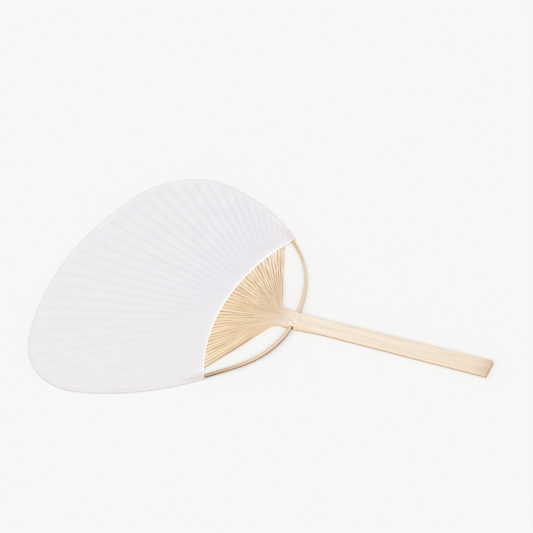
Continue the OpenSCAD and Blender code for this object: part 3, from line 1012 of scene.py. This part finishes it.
def overBow(spot, near=paper["bowShow"][0], far=paper["bowShow"][1]):
    # How much the bow's end shows through the paper at a place. It fades from near to far off the
    # bow's middle line.
    side = -1 if spot.x < 0 else 1
    centre, radius = rims[side]["flank"]
    seen = mirrored(side, spot) - centre
    past = (cornerTurn(side, head["tipInset"]) - turnOf(seen)) * radius
    away = abs(seen.length - (radius - head["tipInset"]))
    beyond = ease(past, *[bow["tipLength"] + more for more in paper["bowEnd"]])
    return ease(past, *paper["bowStart"]) * (1 - beyond) * (1 - ease(away, near, far))


def sheetVert(side, column, row):
    # The place and the shades of one vertex on the outer face of a sheet
    t = mix(fanEnds[0], fanEnds[1], column / sheetColumns)
    start = lineToEdge(t)
    whole = lineToRim(t, paper["inset"]) - start
    run = rowRun(row, whole)
    spot = linePoint(t, start + run)
    nearest = round((min(1, max(-1, t)) + 1) / ribPitch) * ribPitch - 1
    away = (linePoint(nearest, start + run) - spot).length
    half = mix(ribs["fill"] * ribPitch * threadHalf, ribs["endWidth"], ease(run, 0, whole)) / 2
    inside = ease(run, *paper["sagEdge"]) * ease(whole - run, *paper["sagRim"])
    # The ribs show less at the left, and past the last ribs the two sheets are pressed together
    clear = mix(paper["clearLeft"], 1, ease(t, -1, 0.6))
    sag = paper["sag"] * clear * ease(away, half, half + 1.2) * inside
    if abs(t) > 1:
        sag += (
            paper["pinch"] * ease(away, half, half + 3) * (1 - overBow(spot, *paper["pinchBow"]))
            * (1 - ease(run, *paper["pinchRun"])))
    ramp = paper["ridgeRamp"]
    fromEdge = (spot - edgeCentre).length - head["edgeRadius"]
    alongEdge = abs(turnOf(spot - edgeCentre)) * threadRadius
    ridge = ease(fromEdge, ramp[0], ramp[1]) * (1 - ease(fromEdge, ramp[2], ramp[3]))
    ridge *= 1 - ease(alongEdge, threadHalf + 1.5, threadHalf + paper["ridgePast"])
    lift = paper["thick"] + paper["ridgeRise"] * ridge - sag
    z = frontBox[0].z + lift if side > 0 else backBox[1].z - lift
    shades = {
        # Over each rib the sheet is a little darker: the bamboo showing through, and painted shade
        "rib": (1 - ease(away, half * 0.3, half + 1.6)) * inside * clear,
        "bow": overBow(spot),
        "fold": 0,
        # The painted highlight along the trimmed lower edge
        "cut": 1 - ease(run, *paper["cutHighlight"]),
    }
    return Vector((spot.x, spot.y, z)), shades


def makeSheet(name, side, node):
    bm = bmesh.new()
    layers = newShades(bm, ("rib", "bow", "fold", "cut"))
    bmesh.ops.create_grid(bm, x_segments=sheetColumns, y_segments=sheetRows, size=0.5)
    for vert in bm.verts:
        column, row = (vert.co.x + 0.5) * sheetColumns, (vert.co.y + 0.5) * sheetRows
        setVert(vert, layers, *sheetVert(side, round(column), round(row)))
    bmesh.ops.recalc_face_normals(bm, faces=bm.faces)
    if bm.faces[0].normal.z * side < 0:
        bmesh.ops.reverse_faces(bm, faces=bm.faces)
    # The thickness goes inwards, towards the ribs
    bmesh.ops.solidify(bm, geom=bm.faces, thickness=paper["thick"] * mm)
    return finishPiece(bm, name, sheetPaper, node, paper["sharp"])


makeSheet("paperFront", 1, "paper_front")
makeSheet("paperBack", -1, "paper_back")
print("sheets made, each with", sheetColumns, "by", sheetRows, "cells")


# Edge strip

strip = {"wide": 3.0, "thick": 0.2, "thinEdge": 0.05, "foldRound": 0.35, "steps": 280, "sharp": 60}


def stripSection(share):
    # The folded strip's section: the upper band, the fold, the lower band, then back inside
    low, high, thick, fold = rimBox[0].z, rimBox[1].z, strip["thick"], strip["foldRound"]
    # Distance in from the rim, depth below the band's face, and how much each is fold, which the material
    # darkens as painted shade
    outer = [
        (strip["wide"], thick - strip["thinEdge"], 0), (strip["wide"] - 0.4, 0.05, 0), (1, 0.01, 0),
        (fold, 0, 0.15), (fold * 0.3, fold * 0.25, 0.7), (0, fold, 1)]
    inner = [(thick, thick + fold * 0.3, 1), (thick + fold * 0.3, thick, 0), (strip["wide"], thick, 0)]
    ring = [(inset, high - depth, shade) for inset, depth, shade in outer]
    ring += [(inset, low + depth, shade) for inset, depth, shade in reversed(outer)]
    ring += [(inset, low + depth, shade) for inset, depth, shade in reversed(inner)]
    ring += [(inset, high - depth, shade) for inset, depth, shade in inner]
    section = []
    for inset, z, shade in ring:
        spot = rimPoint(inset, share)
        shades = {"rib": 0, "bow": overBow(spot), "fold": shade, "cut": 0}
        section.append((Vector((spot.x, spot.y, z)), shades))
    return section


stripMesh = sweepPiece([stripSection(k / strip["steps"]) for k in range(strip["steps"] + 1)])
finishPiece(stripMesh, "paperStrip", foldPaper, "edge_strip", strip["sharp"])
print("edge strip made")


# Floor, light and camera

stage = {
    "size": 6,  # half the floor's width in metres
    "paper": "#f7f7f7",
    "sky": 0.7,
    "sun": 0.3,
    "sunTilt": 42,  # degrees down from straight above, then turned from +Y, and its width in the sky
    "sunHeading": -128,
    "sunSoft": 50,
}

bm = bmesh.new()
bmesh.ops.create_grid(bm, x_segments=1, y_segments=1, size=stage["size"])
floorMesh = bpy.data.meshes.new("floor")
bm.to_mesh(floorMesh)
bm.free()
floor = bpy.data.objects.new("floor", floorMesh)
bpy.context.scene.collection.objects.link(floor)
# Matt backdrop paper, pressed smooth: it takes a soft shadow and has no gloss
backdropPaper, _, _ = newMaterial("backdrop paper, matt", {
    "Base Color": colour(stage["paper"]), "Roughness": 0.9, "Specular IOR Level": 0})
floorMesh.materials.append(backdropPaper)

world = bpy.data.worlds.new("soft studio")
world.use_nodes = True
world.node_tree.nodes["Background"].inputs["Color"].default_value = (1, 1, 1, 1)
world.node_tree.nodes["Background"].inputs["Strength"].default_value = stage["sky"]
bpy.context.scene.world = world

# The sun's energy makes its share of the light on the floor what the setting says
tilt, heading = math.radians(stage["sunTilt"]), math.radians(stage["sunHeading"])
sunLight = bpy.data.lights.new("softbox", "SUN")
sunLight.energy = stage["sun"] * math.pi / math.cos(tilt)
sunLight.angle = math.radians(stage["sunSoft"])
sun = bpy.data.objects.new("softbox", sunLight)
sunWay = (toward(heading) * math.sin(tilt)).to_3d() + Vector((0, 0, math.cos(tilt)))
sun.rotation_mode = "QUATERNION"
sun.rotation_quaternion = sunWay.to_track_quat("Z", "Y")
bpy.context.scene.collection.objects.link(sun)

# The camera, in metres, degrees and for its lens millimetres. Azimuth 0 looks along +Y.
view = {
    "aim": (0.0435, 0.0201, 0.0017),
    "distance": 1.2315,
    "azimuth": -52.78,
    "elevation": 44.0,
    "roll": -13.94,
    "lens": 105.37,
}
azimuth, elevation = math.radians(view["azimuth"]), math.radians(view["elevation"])
back = Vector((
    math.sin(azimuth) * math.cos(elevation), -math.cos(azimuth) * math.cos(elevation), math.sin(elevation)))
cameraLens = bpy.data.cameras.new("camera")
cameraLens.lens = view["lens"]
camera = bpy.data.objects.new("camera", cameraLens)
camera.location = Vector(view["aim"]) + back * view["distance"]
camera.rotation_mode = "QUATERNION"
level = back.to_track_quat("Z", "Y").to_matrix().to_4x4()
camera.rotation_quaternion = (level @ Matrix.Rotation(math.radians(view["roll"]), 4, "Z")).to_quaternion()
bpy.context.scene.collection.objects.link(camera)
bpy.context.scene.camera = camera
bpy.context.scene.view_settings.view_transform = "Standard"
print("floor, light and camera set")
